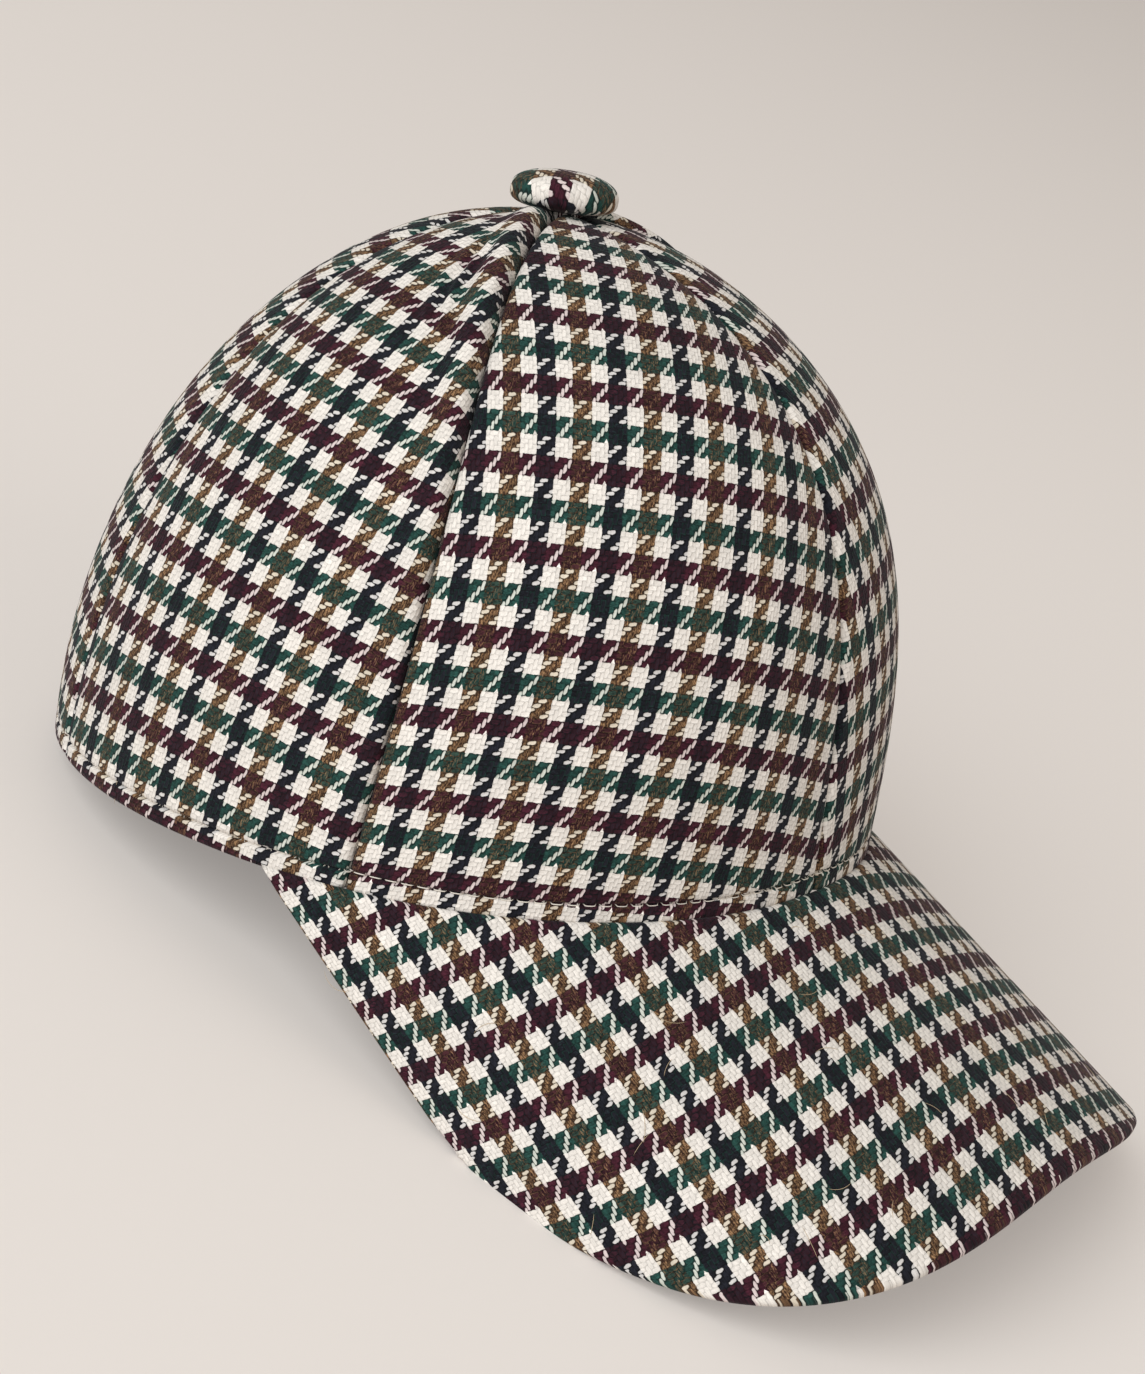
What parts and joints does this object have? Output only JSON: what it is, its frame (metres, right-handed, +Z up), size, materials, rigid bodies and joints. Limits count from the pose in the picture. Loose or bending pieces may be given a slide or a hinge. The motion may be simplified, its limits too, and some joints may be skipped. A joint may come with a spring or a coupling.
{
  "type": "baseball cap",
  "caption": "Six-panel baseball cap in checked wool cloth, with an arched brim and a cloth-covered button, standing by itself on a floor.",
  "frame": {"origin": "on the floor, at the middle of the cap's footprint", "axes": "+Z up, -Y towards the front of the brim, -X towards the wearer's right; the cap is tipped back by about 14.2 degrees, as it stands on the low edges of its brim and the back of its hem"},
  "size_m": [0.1736, 0.26, 0.159],
  "materials": {
    "checked_wool": "matte"
  },
  "bodies": {
    "root": {"panel_front_right": "checked_wool", "panel_front_left": "checked_wool", "panel_side_right": "checked_wool", "panel_side_left": "checked_wool", "panel_back_right": "checked_wool", "panel_back_left": "checked_wool", "brim": "checked_wool", "button": "checked_wool"}
  },
  "joints": []
}
